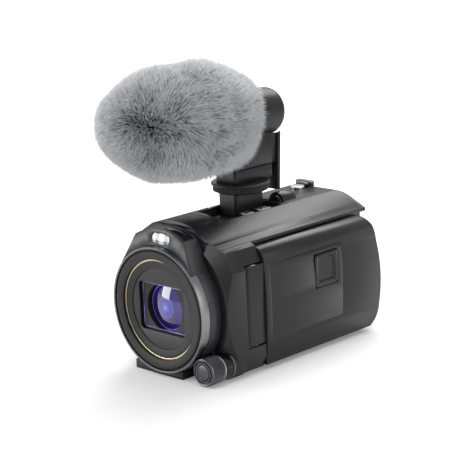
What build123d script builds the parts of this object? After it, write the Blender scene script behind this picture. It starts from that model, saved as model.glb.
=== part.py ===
"""Pocket camcorder with a projector panel and a shoe microphone in a fur wind muff.

Frame: +Z up, the lens looks along -Y, the screen panel closes against the +X side.
The origin is the mouth of the tripod socket, in the plane that the base rests on.
All sizes are millimetres.
"""

import os
from math import cos, radians, sin

from build123d import *

os.makedirs("parts", exist_ok=True)

# ---- driving dimensions: body ---------------------------------------------------------
wall = 1.8
seam_gap = 0.05  # between fixed pieces whose curved faces meet
slip = 0.3  # between a soft or sliding piece and its neighbours
base_thickness = 2.0
deck_height = 68.0
deck_left, deck_right = -14.0, 12.5
grip_face = -30.0
bay_wall = 23.0
ledge_right, ledge_height, ledge_lip = 26.5, 60.0, 1.6
haunch_right, haunch_height = 20.0, 63.2
body_front, body_rear = -43.3, 60.0
shoulder_face, shoulder_rear = 33.7, -21.2
top_split = 62.0
rear_round = 6.0
lip_reach, screw_x, screw_rows = 10.7, 18.5, (-32, 45)
far = 200.0  # past every outside face

# ---- lens -----------------------------------------------------------------------------
lens_height = 31.4
hood_radius, hood_front = 29.7, -56.0
hood_corner = (15.5, 64.6)
hood_tangent = (22.8, 50.4)
hood_crown = 68.6
hood_crest_front = -52.0
bezel_front, bezel_rear, bezel_inner = -56.7, -52.0, 28.25
barrel_radius, barrel_bore, barrel_rear = 28.1, 27.3, -45.9
tube_radius, tube_bore, tube_rear = 17.0, 15.0, -6.0
filter_outer, filter_bore, filter_front, filter_rear = 27.6, 23.45, -56.4, -53.6
trim_outer, trim_inner, trim_front = 23.9, 22.7, -54.7
name_inner, name_front = 19.0, -54.6
plate_front, plate_thickness = -53.6, 0.7
opening_width, opening_height = 29.0, 22.6
blade_thickness, blade_gap = 0.7, 0.3
front_glass_radius, front_glass_dome, front_glass_depth = 11.4, 2.6, 5.0
lens_seat_depth = 4.7
glass_thicknesses = (5.0, 3.5, 4.0, 3.0)
glass_gap = 4.5

# ---- dial -----------------------------------------------------------------------------
dial_x, dial_z = 27.0, 6.9
dial_radius, dial_front, dial_rear = 6.5, -55.6, -47.4
collar_radius, collar_front, collar_rear = 6.8, -41.6, -34.0
dial_bore, dial_button_radius, button_travel = 3.7, 3.5, 0.8
spindle_radius, running_gap = 1.5, 0.05

# ---- screen panel and its hinge -------------------------------------------------------
panel_inner, panel_face, panel_split = 24.2, 34.6, 27.2
panel_front, panel_rear = -20.6, 60.8
panel_bottom, panel_top = 2.5, 57.8
panel_ridge = (33.8, 51.2)
panel_rim = 2.5
hinge_x, hinge_y = 31.4, -26.6
hinge_pin_radius = 2.0
arm_bottom, arm_top, arm_front, arm_inner, arm_face = 13.7, 51.1, -31.8, 26.2, 33.6
arm_gap = 0.8
screen_size, screen_centre, screen_depth = (64.0, 42.0), (17.5, 29.0), 1.1
label_y, label_z, skin = (-17.0, 32.5), (13.8, 50.0), 0.8
window_y, window_z = (13.0, 29.2), (31.0, 47.4)

# ---- deck, shoe and controls ----------------------------------------------------------
cover_front, cover_rear, cover_crown = -42.0, -24.8, 70.1
well_front, well_rear, well_floor, tray_wall = -24.0, 19.5, 64.2, 1.2
photo_x, photo_y, photo_radius = -6.3, 47.6, 3.6
zoom_x, zoom_y, zoom_length, zoom_depth, zoom_travel = -6.8, 53.8, 11.0, 4.0, 2.5
start_x, start_z, start_radius = -20.0, 33.0, 5.0
cap_x, cap_z, cap_radius, cradle_radius = 3.0, 66.8, 3.9, 5.0
cap_front, cradle_rear = 20.6, 31.0

# ---- rear: battery and viewfinder -----------------------------------------------------
battery_x, battery_z = (-9.5, 20.0), (3.0, 48.0)
battery_front, battery_rear, battery_travel = 50.0, 68.5, 8.0
pocket_wall = 1.2
finder_x, finder_z = (-25.0, -11.0), (47.0, 61.0)
finder_front = 28.0
eyecup_depth = 6.0

# ---- grip side ------------------------------------------------------------------------
jack_y, jack_z, jack_depth = (-40.0, -30.0), (18.0, 44.0), 3.6
cover_plate = 1.2
strap_z = (16.0, 44.0)
strap_front, strap_rear, strap_bulge = -21.0, 43.0, 12.5
strap_thickness, pad_thickness = 2.2, 3.0
door_x, door_y = (-21.0, -8.0), (12.0, 36.0)

# ---- microphone -----------------------------------------------------------------------
mic_x, mic_y, mic_tilt = -4.75, 5.9, 4.0
foot_width, foot_front, foot_rear, foot_top = 12.7, -3.7, 15.4, 74.9
lock_radius, lock_bottom, lock_top, neck_radius = 14.0, 75.0, 79.8, 5.3
collar_top = 86.0
slab_width, slab_front, slab_rear = 12.6, -9.6, 15.3
grommet_rear, tail_rear, tail_drop = 19.4, 21.4, -6.0
barrel_axis, mic_barrel_radius, mic_barrel_front, mic_barrel_end = 31.8, 11.3, -75.0, 18.3
muff_centre, muff_half_length, muff_radius = -37.0, 45.0, 25.5

REARWARD = (0, 1, 0)
lens_axis = Axis((0, 0, lens_height), REARWARD)
lens_side = Plane((0, 0, lens_height), x_dir=(0, 1, 0), z_dir=(1, 0, 0))
tilt = radians(mic_tilt)
mic_up = (0, sin(tilt), cos(tilt))
mic_back = (0, cos(tilt), -sin(tilt))
mic_plane = Plane((mic_x, mic_y, lock_top), x_dir=(1, 0, 0), z_dir=mic_up)
mic_end_plane = Plane((mic_x, mic_y, lock_top), x_dir=(1, 0, 0), z_dir=mic_back)


def cross_plane(y):
    """The plane across the body at y: its x is +X and its y is +Z."""
    return Plane.XZ.offset(-y)


def across(points):
    """A closed polygon from a list of points."""
    with BuildSketch(Plane.XY, mode=Mode.PRIVATE) as shape:
        with BuildLine():
            Polyline(*points, close=True)
        make_face()
    return shape.sketch


def block(x_span, y_span, z_span):
    """A box given by its low and high limits."""
    low = Vector(x_span[0], y_span[0], z_span[0])
    high = Vector(x_span[1], y_span[1], z_span[1])
    return Pos(*((low + high) / 2)) * Box(*(high - low), mode=Mode.PRIVATE)


def ring(outer, inner, front, rear):
    """A plain ring about the lens axis."""
    with BuildPart(mode=Mode.PRIVATE) as body:
        with BuildSketch(cross_plane(front)):
            with Locations((0, lens_height)):
                Circle(outer)
                if inner:
                    Circle(inner, mode=Mode.SUBTRACT)
        extrude(amount=rear - front, dir=REARWARD)
    return body


def rod(x, z, radius, front, rear, bore=0.0):
    """A cylinder or tube along Y."""
    with BuildPart(mode=Mode.PRIVATE) as body:
        with BuildSketch(cross_plane(front)):
            with Locations((x, z)):
                Circle(radius)
                if bore:
                    Circle(bore, mode=Mode.SUBTRACT)
        extrude(amount=rear - front, dir=REARWARD)
    return body


# ---- body skin ------------------------------------------------------------------------
left_outline = [
    (deck_left, deck_height),
    (-22, 63),
    (-29, 52),
    (grip_face, 44),
    (grip_face, 12),
    (-27, 3),
    (-23, 0),
]
bay_outline = left_outline + [
    (bay_wall, 0),
    (bay_wall, ledge_height - ledge_lip),
    (ledge_right, ledge_height - ledge_lip),
    (ledge_right, ledge_height),
    (haunch_right, haunch_height),
    (deck_right, deck_height),
]
shoulder_outline = left_outline + [
    (dial_x, 0),
    (31.5, 2.0),
    (shoulder_face, dial_z),
    (shoulder_face, 50),
    (29.0, 58.6),
    (haunch_right, haunch_height),
    (deck_right, deck_height),
]


def body_volume(inset):
    """The whole body behind the hood, pulled in by inset on every side."""
    dome_start, dome_end = 33.5 - inset, 52.0
    dome_rear = -31.0
    with BuildPart() as outside_dome:
        with BuildSketch(lens_side):
            with BuildLine():
                Line((body_front - 5, 80), (body_front - 5, dome_start))
                Line((body_front - 5, dome_start), (body_front - 1.5 + inset, dome_start))
                ThreePointArc(
                    (body_front - 1.5 + inset, dome_start),
                    (-39.0 + inset, dome_start + 7.0),
                    (dome_rear, dome_end),
                )
                Line((dome_rear, dome_end), (dome_rear, 80))
                Line((dome_rear, 80), (body_front - 5, 80))
            make_face()
        revolve(axis=lens_axis)
        split(bisect_by=Plane.YZ.offset(haunch_right), keep=Keep.TOP)
    with BuildPart() as volume:
        with BuildSketch(cross_plane(body_front + inset)):
            add(across(bay_outline))
            if inset:
                offset(amount=-inset, mode=Mode.REPLACE)
        extrude(amount=body_rear - body_front - 2 * inset, dir=REARWARD)
        with BuildSketch(cross_plane(body_front - 1.7 + inset)):
            add(across(shoulder_outline))
            if inset:
                offset(amount=-inset, mode=Mode.REPLACE)
        extrude(amount=shoulder_rear - body_front + 1.7 - 2 * inset, dir=REARWARD)
        front_slab = block((-60, haunch_right), (-60, body_front + inset), (-5, 80))
        add(front_slab, mode=Mode.SUBTRACT)
        add(outside_dome.part, mode=Mode.SUBTRACT)
        rear_edge = volume.faces().sort_by(Axis.Y)[-1].edges().sort_by(Axis.Z)[-1]
        fillet(rear_edge, rear_round - inset)
    return volume.part


outer_volume = body_volume(0)
inner_volume = body_volume(wall)
lens_bore = ring(hood_radius + slip, 0, -60, body_front + wall + 1).part
finder_outline = [
    (finder_x[0], finder_z[0]),
    (finder_x[1], finder_z[0]),
    (finder_x[1], finder_z[1]),
    (-18.5, finder_z[1]),
    (finder_x[0], 52.0),
]
pocket_x = (battery_x[0] - slip, battery_x[1] + slip)
pocket_z = (battery_z[0] - slip, battery_z[1] + battery_travel + slip)
liner_x = (pocket_x[0] - pocket_wall, bay_wall - wall)
liner_z = (base_thickness, pocket_z[1] + pocket_wall)
liner_front = battery_front - slip - pocket_wall
panel_wall_front = body_rear - wall
collar_hole = rod(dial_x, dial_z, collar_radius + seam_gap, -60, collar_rear + seam_gap).part

jack_middle = (jack_y[0] + jack_y[1]) / 2
jack_tub = block(
    (grip_face + 0.5, grip_face + jack_depth + 1.5),
    (jack_y[0] - 1.2, jack_y[1] + 1.2),
    (jack_z[0] - 1.2, jack_z[1] + 1.2),
)

def hood_outline():
    """The front view of the hood: a circle with a roof of two straight sides and a crown arc."""
    with BuildSketch(Plane.XY, mode=Mode.PRIVATE) as shape:
        with BuildLine():
            Line((-hood_tangent[0], hood_tangent[1]), (-hood_corner[0], hood_corner[1]))
            ThreePointArc((-hood_corner[0], hood_corner[1]), (0, hood_crown), hood_corner)
            Line(hood_corner, hood_tangent)
            Line(hood_tangent, (0, lens_height))
            Line((0, lens_height), (-hood_tangent[0], hood_tangent[1]))
        make_face()
        with Locations((0, lens_height)):
            Circle(hood_radius)
    return shape.sketch


with BuildPart() as hood_seat:
    with BuildSketch(cross_plane(-60)):
        add(hood_outline())
        offset(amount=0.1, mode=Mode.REPLACE)
    extrude(amount=60 + body_front - 0.2, dir=REARWARD)

front_corner = block((5.0, 22.6), (-50, -38.0), (base_thickness, 10))

with BuildPart() as grip_casing:
    add(outer_volume)
    add(inner_volume, mode=Mode.SUBTRACT)
    add(block((-far, 0), (-far, panel_wall_front), (base_thickness, top_split)), mode=Mode.INTERSECT)
    add(lens_bore, mode=Mode.SUBTRACT)
    add(jack_tub)
    add(block((grip_face - 1, grip_face + jack_depth), jack_y, jack_z), mode=Mode.SUBTRACT)
    with BuildSketch(Plane.YZ.offset(grip_face + jack_depth)):
        with Locations((jack_middle, 38)):
            Circle(1.8)
        with Locations((jack_middle, 31), (jack_middle, 24)):
            Rectangle(5.0, 3.0)
    extrude(amount=1.0, mode=Mode.SUBTRACT)

with BuildPart() as side_casing:
    add(outer_volume)
    add(inner_volume, mode=Mode.SUBTRACT)
    add(block((0, far), (-far, panel_wall_front), (base_thickness, top_split)), mode=Mode.INTERSECT)
    add(lens_bore, mode=Mode.SUBTRACT)
    add(collar_hole, mode=Mode.SUBTRACT)
    add(hood_seat.part, mode=Mode.SUBTRACT)
    add(front_corner, mode=Mode.SUBTRACT)
    arm_window = block(
        (bay_wall + 0.3, far), (arm_front - arm_gap, panel_front), (arm_bottom - arm_gap, arm_top + arm_gap)
    )
    add(arm_window, mode=Mode.SUBTRACT)
    with BuildSketch(Plane.YZ.offset(bay_wall - wall)):
        with Locations((-6, 44), (6, 44)):
            Circle(2.7)
        with Locations((36, 20)):
            SlotOverall(18, 6, rotation=90)
    extrude(amount=wall, mode=Mode.SUBTRACT)

with BuildPart() as top_cover:
    add(outer_volume)
    add(inner_volume, mode=Mode.SUBTRACT)
    add(block((-far, far), (-far, panel_wall_front), (top_split, far)), mode=Mode.INTERSECT)
    add(lens_bore, mode=Mode.SUBTRACT)
    with BuildSketch(Plane.XY.offset(top_split)):
        with Locations(((deck_left + deck_right) / 2, (well_front + well_rear) / 2)):
            Rectangle(deck_right - deck_left - 0.8, well_rear - well_front)
    extrude(amount=20, mode=Mode.SUBTRACT)
    with BuildSketch(cross_plane(cap_front + 1.4)):
        with Locations((cap_x, cap_z)):
            Circle(cradle_radius)
    extrude(amount=cradle_rear - cap_front - 1.4, dir=REARWARD)
    cap_hole = rod(cap_x, cap_z, cap_radius + seam_gap, 10, cap_front + 5 + seam_gap).part
    add(cap_hole, mode=Mode.SUBTRACT)
    add(block((-5, 15), (20, cradle_rear), (50, cap_z - cradle_radius + 0.5)), mode=Mode.SUBTRACT)
    with Locations((photo_x, photo_y, deck_height)):
        Hole(radius=photo_radius + 0.15, depth=5)
    stem_slot = block(
        (zoom_x - 1.5 - zoom_travel - slip, zoom_x + 1.5 + zoom_travel + slip),
        (zoom_y - 1.0 - slip, zoom_y + 1.0 + slip),
        (60, 80),
    )
    add(stem_slot, mode=Mode.SUBTRACT)

with BuildPart() as rear_panel:
    add(outer_volume)
    add(block((-far, far), (panel_wall_front, far), (base_thickness, far)), mode=Mode.INTERSECT)
    add(block(liner_x, (liner_front, panel_wall_front), liner_z))
    terminal_middle = (battery_x[0] + battery_x[1]) / 2
    add(block((terminal_middle - 6, terminal_middle + 6), (liner_front - 4.0, liner_front), (10, 22)))
    pocket = block(pocket_x, (battery_front - slip, far), pocket_z)
    add(pocket, mode=Mode.SUBTRACT)
    with BuildSketch(cross_plane(panel_wall_front)):
        add(across(finder_outline))
        offset(amount=slip, mode=Mode.REPLACE)
    extrude(amount=20, dir=REARWARD, mode=Mode.SUBTRACT)
    start_hole = rod(start_x, start_z, start_radius + 0.15, 40, far).part
    add(start_hole, mode=Mode.SUBTRACT)
    lever_slot = block((1.0, 12.0), (panel_wall_front - 1, far), (59.6, 61.6))
    add(lever_slot, mode=Mode.SUBTRACT)

corner_skin = (outer_volume - inner_volume) & front_corner
with BuildPart() as base_plate:
    add(outer_volume)
    add(block((-far, far), (-far, far), (-1, base_thickness)), mode=Mode.INTERSECT)
    lip = block((-19, 12), (body_front - lip_reach, body_front), (0, 4.2))
    add(lip)
    add(corner_skin)
    add(ring(hood_radius + slip, 0, -70, body_front + 0.001).part, mode=Mode.SUBTRACT)
    add(collar_hole, mode=Mode.SUBTRACT)
    with Locations((0, 0, base_thickness)):
        Hole(radius=5.0 + seam_gap, depth=base_thickness)
    add(block(door_x, door_y, (-1, 10)), mode=Mode.SUBTRACT)
    with Locations(*[(x, y, 0) for x in (-screw_x, screw_x) for y in screw_rows]):
        Cylinder(1.0, 20, mode=Mode.SUBTRACT)
        Cylinder(2.1, 2 * 1.3, mode=Mode.SUBTRACT)

with BuildPart() as screws:
    with Locations(*[(x, y) for x in (-screw_x, screw_x) for y in screw_rows]):
        with Locations((0, 0, 0.3)):
            Cylinder(2.0, 1.0, align=(Align.CENTER, Align.CENTER, Align.MIN))
        with Locations((0, 0, 1.3)):
            Cylinder(0.9, 1.6, align=(Align.CENTER, Align.CENTER, Align.MIN))
        with Locations((0, 0, 0.3)):
            Box(2.6, 0.5, 0.5, align=(Align.CENTER, Align.CENTER, Align.MIN), mode=Mode.SUBTRACT)

with BuildPart() as tripod_socket:
    Cylinder(5.0, 7.0, align=(Align.CENTER, Align.CENTER, Align.MIN))
    Cylinder(3.175, 5.5, align=(Align.CENTER, Align.CENTER, Align.MIN), mode=Mode.SUBTRACT)

with BuildPart() as card_door:
    with Locations(((door_x[0] + door_x[1]) / 2, (door_y[0] + door_y[1]) / 2, 0.3)):
        Box(
            door_x[1] - door_x[0] - 2 * 0.2,
            door_y[1] - door_y[0] - 2 * 0.2,
            1.5,
            align=(Align.CENTER, Align.CENTER, Align.MIN),
        )

# ---- hood and lens front --------------------------------------------------------------
slope = (hood_crest_front - hood_front) / (hood_crown - hood_tangent[1])
brow_top = 75.0
with BuildPart() as brow:
    with BuildSketch(Plane.YZ):
        add(
            across(
                [
                    (-65, hood_tangent[1]),
                    (hood_front, hood_tangent[1]),
                    (hood_front + slope * (brow_top - hood_tangent[1]), brow_top),
                    (-65, brow_top),
                ]
            )
        )
    extrude(amount=40, both=True)

lamp_x, lamp_z, lamp_size = 1.0, 64.2, (11.5, 4.8)
flash_x, flash_y, flash_skin = (0.5, 14.8), (-50.8, -45.2), 1.0


def flash_skin_part(grow):
    """The patch of the hood's crown that the flash window fills, widened by grow."""
    with BuildPart(mode=Mode.PRIVATE) as patch:
        with BuildSketch(cross_plane(flash_y[0] - grow)):
            add(hood_outline())
            with BuildSketch(mode=Mode.PRIVATE) as core:
                add(hood_outline())
                offset(amount=-flash_skin - grow, mode=Mode.REPLACE)
            add(core.sketch, mode=Mode.SUBTRACT)
            with Locations(((flash_x[0] + flash_x[1]) / 2, 70)):
                Rectangle(flash_x[1] - flash_x[0] + 2 * grow, 14, mode=Mode.INTERSECT)
        extrude(amount=flash_y[1] - flash_y[0] + 2 * grow, dir=REARWARD)
    return patch


with BuildPart() as front_hood:
    with BuildSketch(cross_plane(hood_front)):
        add(hood_outline())
    extrude(amount=body_front - 0.3 - hood_front, dir=REARWARD)
    add(brow.part, mode=Mode.SUBTRACT)
    add(ring(hood_radius + seam_gap, 0, -70, bezel_rear + seam_gap).part, mode=Mode.SUBTRACT)
    add(ring(barrel_radius + seam_gap, 0, -70, 0).part, mode=Mode.SUBTRACT)
    with BuildSketch(cross_plane(-70)):
        with Locations((lamp_x, lamp_z)):
            SlotOverall(lamp_size[0] + 0.2, lamp_size[1] + 0.2)
    extrude(amount=70 - 49.0, dir=REARWARD, mode=Mode.SUBTRACT)
    add(flash_skin_part(seam_gap).part, mode=Mode.SUBTRACT)

with BuildPart() as lamp_window:
    with BuildSketch(cross_plane(-60)):
        with Locations((lamp_x, lamp_z)):
            SlotOverall(*lamp_size)
    extrude(amount=60 - 49.0, dir=REARWARD)
    add(Pos(0, 0.5, 0) * brow.part, mode=Mode.SUBTRACT)

flash_window = flash_skin_part(0)

lens_bezel = ring(hood_radius, bezel_inner, bezel_front, bezel_rear)

with BuildPart() as lens_barrel:
    with BuildSketch(lens_side):
        add(
            across(
                [
                    (filter_front + 0.6, filter_outer + seam_gap),
                    (filter_front + 0.6, barrel_radius),
                    (barrel_rear, barrel_radius),
                    (barrel_rear, tube_radius),
                    (tube_rear, tube_radius),
                    (tube_rear, tube_bore),
                    (barrel_rear - 1.5, tube_bore),
                    (barrel_rear - 1.5, barrel_bore),
                    (filter_rear, barrel_bore),
                    (filter_rear, filter_outer + seam_gap),
                ]
            )
        )
    revolve(axis=lens_axis)

with BuildPart() as filter_ring:
    with BuildSketch(lens_side):
        add(
            across(
                [
                    (filter_front, filter_outer - 0.6),
                    (filter_front + 0.6, filter_outer),
                    (filter_rear, filter_outer),
                    (filter_rear, trim_outer + seam_gap),
                    (trim_front, trim_outer + seam_gap),
                    (trim_front, filter_bore),
                    (filter_front + 0.5, filter_bore),
                    (filter_front, filter_bore + 0.5),
                ]
            )
        )
    revolve(axis=lens_axis)

trim_ring = ring(trim_outer, trim_inner, trim_front, filter_rear)

with BuildPart() as name_ring:
    with BuildSketch(lens_side):
        add(
            across(
                [
                    (name_front, trim_inner - seam_gap),
                    (plate_front, trim_inner - seam_gap),
                    (plate_front, name_inner + seam_gap),
                    (name_front + 0.6, name_inner + seam_gap),
                ]
            )
        )
    revolve(axis=lens_axis)

plate_rear = plate_front + plate_thickness
with BuildPart() as front_plate:
    with BuildSketch(cross_plane(plate_front)):
        with Locations((0, lens_height)):
            Circle(barrel_bore - seam_gap)
            RectangleRounded(opening_width, opening_height, 2.0, mode=Mode.SUBTRACT)
    extrude(amount=plate_thickness, dir=REARWARD)

blade_front = plate_rear + blade_gap
blade_rear = blade_front + blade_thickness
shutter_travel = opening_height / 2


def shutter(sign):
    """One shutter blade, drawn back from the opening: sign is +1 above and -1 below."""
    with BuildPart() as blade:
        with BuildSketch(cross_plane(blade_front)):
            with Locations((0, lens_height)):
                Circle(barrel_bore - 0.15)
            with Locations((0, lens_height + sign * (shutter_travel + 0.05 + shutter_travel / 2 + 0.1))):
                Rectangle(opening_width + 0.8, shutter_travel + 0.2, mode=Mode.INTERSECT)
        extrude(amount=blade_thickness, dir=REARWARD)
    return blade


shutter_upper = shutter(1)
shutter_lower = shutter(-1)

mask_front = blade_rear + blade_gap
with BuildPart() as gap_ring:
    with BuildSketch(cross_plane(mask_front)):
        with Locations((0, lens_height)):
            Circle(barrel_bore - seam_gap)
            Circle(front_glass_radius, mode=Mode.SUBTRACT)
    extrude(amount=0.8, dir=REARWARD)
    with BuildSketch(cross_plane(mask_front + 0.8)):
        with Locations((0, lens_height)):
            Circle(tube_bore - seam_gap)
            Circle(front_glass_radius + 0.6, mode=Mode.SUBTRACT)
    extrude(amount=lens_seat_depth, dir=REARWARD)

glass_front = blade_rear + 2 * blade_gap + front_glass_dome  # the dome stays clear of the blades
glass_rear = glass_front + front_glass_depth
dome_edge = front_glass_radius - 0.3
dome_radius = (dome_edge**2 + front_glass_dome**2) / (2 * front_glass_dome)
with BuildPart() as front_lens:
    with BuildSketch(lens_side):
        with BuildLine():
            Line((glass_front - front_glass_dome, 0), (glass_rear, 0))
            Line((glass_rear, 0), (glass_rear, front_glass_radius + 0.5))
            Line((glass_rear, front_glass_radius + 0.5), (glass_front, front_glass_radius + 0.5))
            Line((glass_front, front_glass_radius + 0.5), (glass_front, dome_edge))
            RadiusArc(
                (glass_front - front_glass_dome, 0),
                (glass_front, dome_edge),
                -dome_radius,
            )
        make_face()
    revolve(axis=lens_axis)

with BuildPart() as lens_groups:
    station = glass_rear + glass_gap
    for thickness in glass_thicknesses:
        with BuildSketch(cross_plane(station)):
            with Locations((0, lens_height)):
                Circle(tube_bore - 0.2)
        extrude(amount=thickness, dir=REARWARD)
        station += thickness + glass_gap

with BuildPart() as image_sensor:
    with BuildSketch(cross_plane(tube_rear)):
        with Locations((0, lens_height)):
            Circle(tube_radius - 0.5)
    extrude(amount=1.5, dir=REARWARD)
    with BuildSketch(cross_plane(tube_rear + 1.5)):
        with Locations((0, lens_height)):
            Rectangle(16, 14)
    extrude(amount=2.0, dir=REARWARD)

with BuildPart() as main_board:
    add(block((17.8, bay_wall - wall - 1.2), (-18, 45), (6, 57)))

# ---- dial -----------------------------------------------------------------------------
with BuildPart() as dial_collar:
    add(rod(dial_x, dial_z, collar_radius, collar_front, collar_rear).part)
    add(rod(dial_x, dial_z, spindle_radius, dial_rear - 2.9, collar_front).part)

dial_label_ring = rod(
    dial_x, dial_z, dial_radius - 0.3, dial_rear + 0.2, collar_front, spindle_radius + running_gap
)

recess_floor = dial_rear - 2.8
with BuildPart() as manual_dial:
    with BuildSketch(cross_plane(dial_front)):
        with Locations((dial_x, dial_z)):
            Circle(dial_radius)
            Circle(dial_bore, mode=Mode.SUBTRACT)
    extrude(amount=recess_floor - dial_front, dir=REARWARD)
    with BuildSketch(cross_plane(recess_floor)):
        with Locations((dial_x, dial_z)):
            Circle(dial_radius)
            Circle(spindle_radius + running_gap, mode=Mode.SUBTRACT)
    extrude(amount=dial_rear - recess_floor, dir=REARWARD)
    chamfer(manual_dial.faces().sort_by(Axis.Y)[0].edges().sort_by(SortBy.LENGTH)[-1], 0.5)

button_rear = recess_floor - button_travel - 0.3
dial_button = rod(dial_x, dial_z, dial_button_radius, dial_front + 0.1, button_rear)

# ---- deck -----------------------------------------------------------------------------
rail_height = 68.15
with BuildPart() as shoe_cover:
    with BuildSketch(cross_plane(cover_front)):
        with BuildLine():
            Line((deck_right - 0.6, rail_height), (deck_left + 0.6, rail_height))
            ThreePointArc(
                (deck_left + 0.6, rail_height),
                ((deck_left + deck_right) / 2, cover_crown),
                (deck_right - 0.6, rail_height),
            )
        make_face()
    extrude(amount=cover_rear - cover_front, dir=REARWARD)
    with BuildSketch(cross_plane(cover_rear - 2.0)):
        with BuildLine():
            Line((deck_right - 1.4, rail_height), (deck_left + 1.4, rail_height))
            ThreePointArc(
                (deck_left + 1.4, rail_height),
                ((deck_left + deck_right) / 2, cover_crown + 0.5),
                (deck_right - 1.4, rail_height),
            )
        make_face()
    extrude(amount=2.0, dir=REARWARD)

tray_x = (deck_left + 0.5, deck_right - 0.5)
tray_y = (well_front + 0.1, well_rear - 0.1)
tray_middle = ((tray_x[0] + tray_x[1]) / 2, (tray_y[0] + tray_y[1]) / 2)
tray_size = (tray_x[1] - tray_x[0], tray_y[1] - tray_y[0])
with BuildPart() as shoe_frame:
    with BuildSketch(Plane.XY.offset(well_floor - tray_wall)):
        with Locations(tray_middle):
            Rectangle(*tray_size)
    extrude(amount=deck_height - 0.15 - well_floor + tray_wall)
    with BuildSketch(Plane.XY.offset(well_floor)):
        with Locations(tray_middle):
            RectangleRounded(tray_size[0] - 2 * tray_wall, tray_size[1] - 2 * tray_wall, 3.5)
    extrude(amount=20, mode=Mode.SUBTRACT)

with BuildPart() as shoe_rails:
    for low, high in ((-8.5, -3.0), (2.0, 8.5)):
        add(block((tray_x[1] - 4.4, tray_x[1]), (low, high), (deck_height - 0.15, deck_height + 0.35)))
        add(block((tray_x[0], tray_x[0] + 2.0), (low, high), (deck_height - 0.15, deck_height + 0.35)))

deck_cap = rod(cap_x, cap_z, cap_radius, cap_front, cap_front + 5)

with BuildPart() as photo_button:
    with BuildSketch(Plane.XY.offset(deck_height - wall - 0.6)):
        with Locations((photo_x, photo_y)):
            Circle(photo_radius)
    extrude(amount=wall + 0.6 + 1.2)
    fillet(photo_button.faces().sort_by(Axis.Z)[-1].edges(), 0.4)

with BuildPart() as zoom_lever:
    with BuildSketch(Plane.XY.offset(deck_height + 0.3)):
        with Locations((zoom_x, zoom_y)):
            SlotOverall(zoom_length, zoom_depth)
    extrude(amount=2.6)
    fillet(zoom_lever.faces().sort_by(Axis.Z)[-1].edges(), 0.8)
    with BuildSketch(Plane.XY.offset(deck_height - 4)):
        with Locations((zoom_x, zoom_y)):
            Rectangle(3, 2)
    extrude(amount=4.3)

start_stop_button = rod(start_x, start_z, start_radius, panel_wall_front - 1.0, body_rear + 0.9)

# ---- rear -----------------------------------------------------------------------------
with BuildPart() as battery_pack:
    add(block(battery_x, (battery_front, battery_rear), battery_z))
    fillet(battery_pack.edges().filter_by(Axis.Z).group_by(Axis.Y)[-1], 3.0)
    fillet(battery_pack.faces().sort_by(Axis.Z)[-1].edges(), 0.8)

with BuildPart() as battery_lever:
    add(block((2.0, 8.5), (body_rear + 0.1, body_rear + 1.6), (58.9, 62.3)))
    add(block((3.5, 7.0), (panel_wall_front - 0.9, body_rear + 0.1), (59.9, 61.3)))

with BuildPart() as viewfinder_tube:
    with BuildSketch(cross_plane(finder_front)):
        add(across(finder_outline))
    extrude(amount=body_rear + 0.2 - finder_front, dir=REARWARD)
    with BuildSketch(cross_plane(body_rear + 0.2 - 6)):
        with Locations(((finder_x[0] + finder_x[1]) / 2 + 0.6, (finder_z[0] + finder_z[1]) / 2)):
            Circle(4.6)
    extrude(amount=7, dir=REARWARD, mode=Mode.SUBTRACT)

with BuildPart() as viewfinder_lens:
    with BuildSketch(cross_plane(body_rear + 0.2 - 6)):
        with Locations(((finder_x[0] + finder_x[1]) / 2 + 0.6, (finder_z[0] + finder_z[1]) / 2)):
            Circle(4.5)
    extrude(amount=4, dir=REARWARD)

with BuildPart() as eyecup:
    with BuildSketch(cross_plane(body_rear + 0.3)):
        add(across(finder_outline))
        offset(amount=0.8, mode=Mode.REPLACE)
        with Locations(((finder_x[0] + finder_x[1]) / 2 + 0.6, (finder_z[0] + finder_z[1]) / 2)):
            Circle(5.0, mode=Mode.SUBTRACT)
    extrude(amount=eyecup_depth, dir=REARWARD)

# ---- grip side ------------------------------------------------------------------------
with BuildPart() as jack_cover:
    add(
        block(
            (grip_face, grip_face + cover_plate),
            (jack_y[0] + 0.15, jack_y[1] - 0.15),
            (jack_z[0] + 0.15, jack_z[1] - 0.15),
        )
    )

strap_middle = (strap_front + strap_rear) / 2
strap_out = grip_face - strap_bulge
lug_out = grip_face - 6.0


def strap_band(near, thickness, front, rear):
    """A bowed band: near is how far its inner face lies inside the bow at mid length."""
    with BuildPart(mode=Mode.PRIVATE) as band:
        with BuildSketch(Plane.XY.offset(strap_z[0])):
            with BuildLine():
                inner_end = lug_out + 3.0 + near
                inner_top = strap_out + near
                ThreePointArc((inner_end, front), (inner_top, strap_middle), (inner_end, rear))
                Line((inner_end, rear), (inner_end - thickness, rear))
                ThreePointArc(
                    (inner_end - thickness, rear),
                    (inner_top - thickness, strap_middle),
                    (inner_end - thickness, front),
                )
                Line((inner_end - thickness, front), (inner_end, front))
            make_face()
        extrude(amount=strap_z[1] - strap_z[0])
    return band


with BuildPart() as grip_strap:
    add(strap_band(pad_thickness, pad_thickness, strap_front, strap_rear).part)
    add(block((-far, far), (strap_front + 7, strap_rear - 7), (0, far)), mode=Mode.INTERSECT)
    add(strap_band(0.0, strap_thickness, strap_front, strap_rear).part)

with BuildPart() as strap_anchors:
    for low, high in ((strap_front - 4.0, strap_front), (strap_rear, strap_rear + 4.0)):
        add(block((lug_out, grip_face), (low, high), (strap_z[0], strap_z[1])))

# ---- screen panel ---------------------------------------------------------------------


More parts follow.
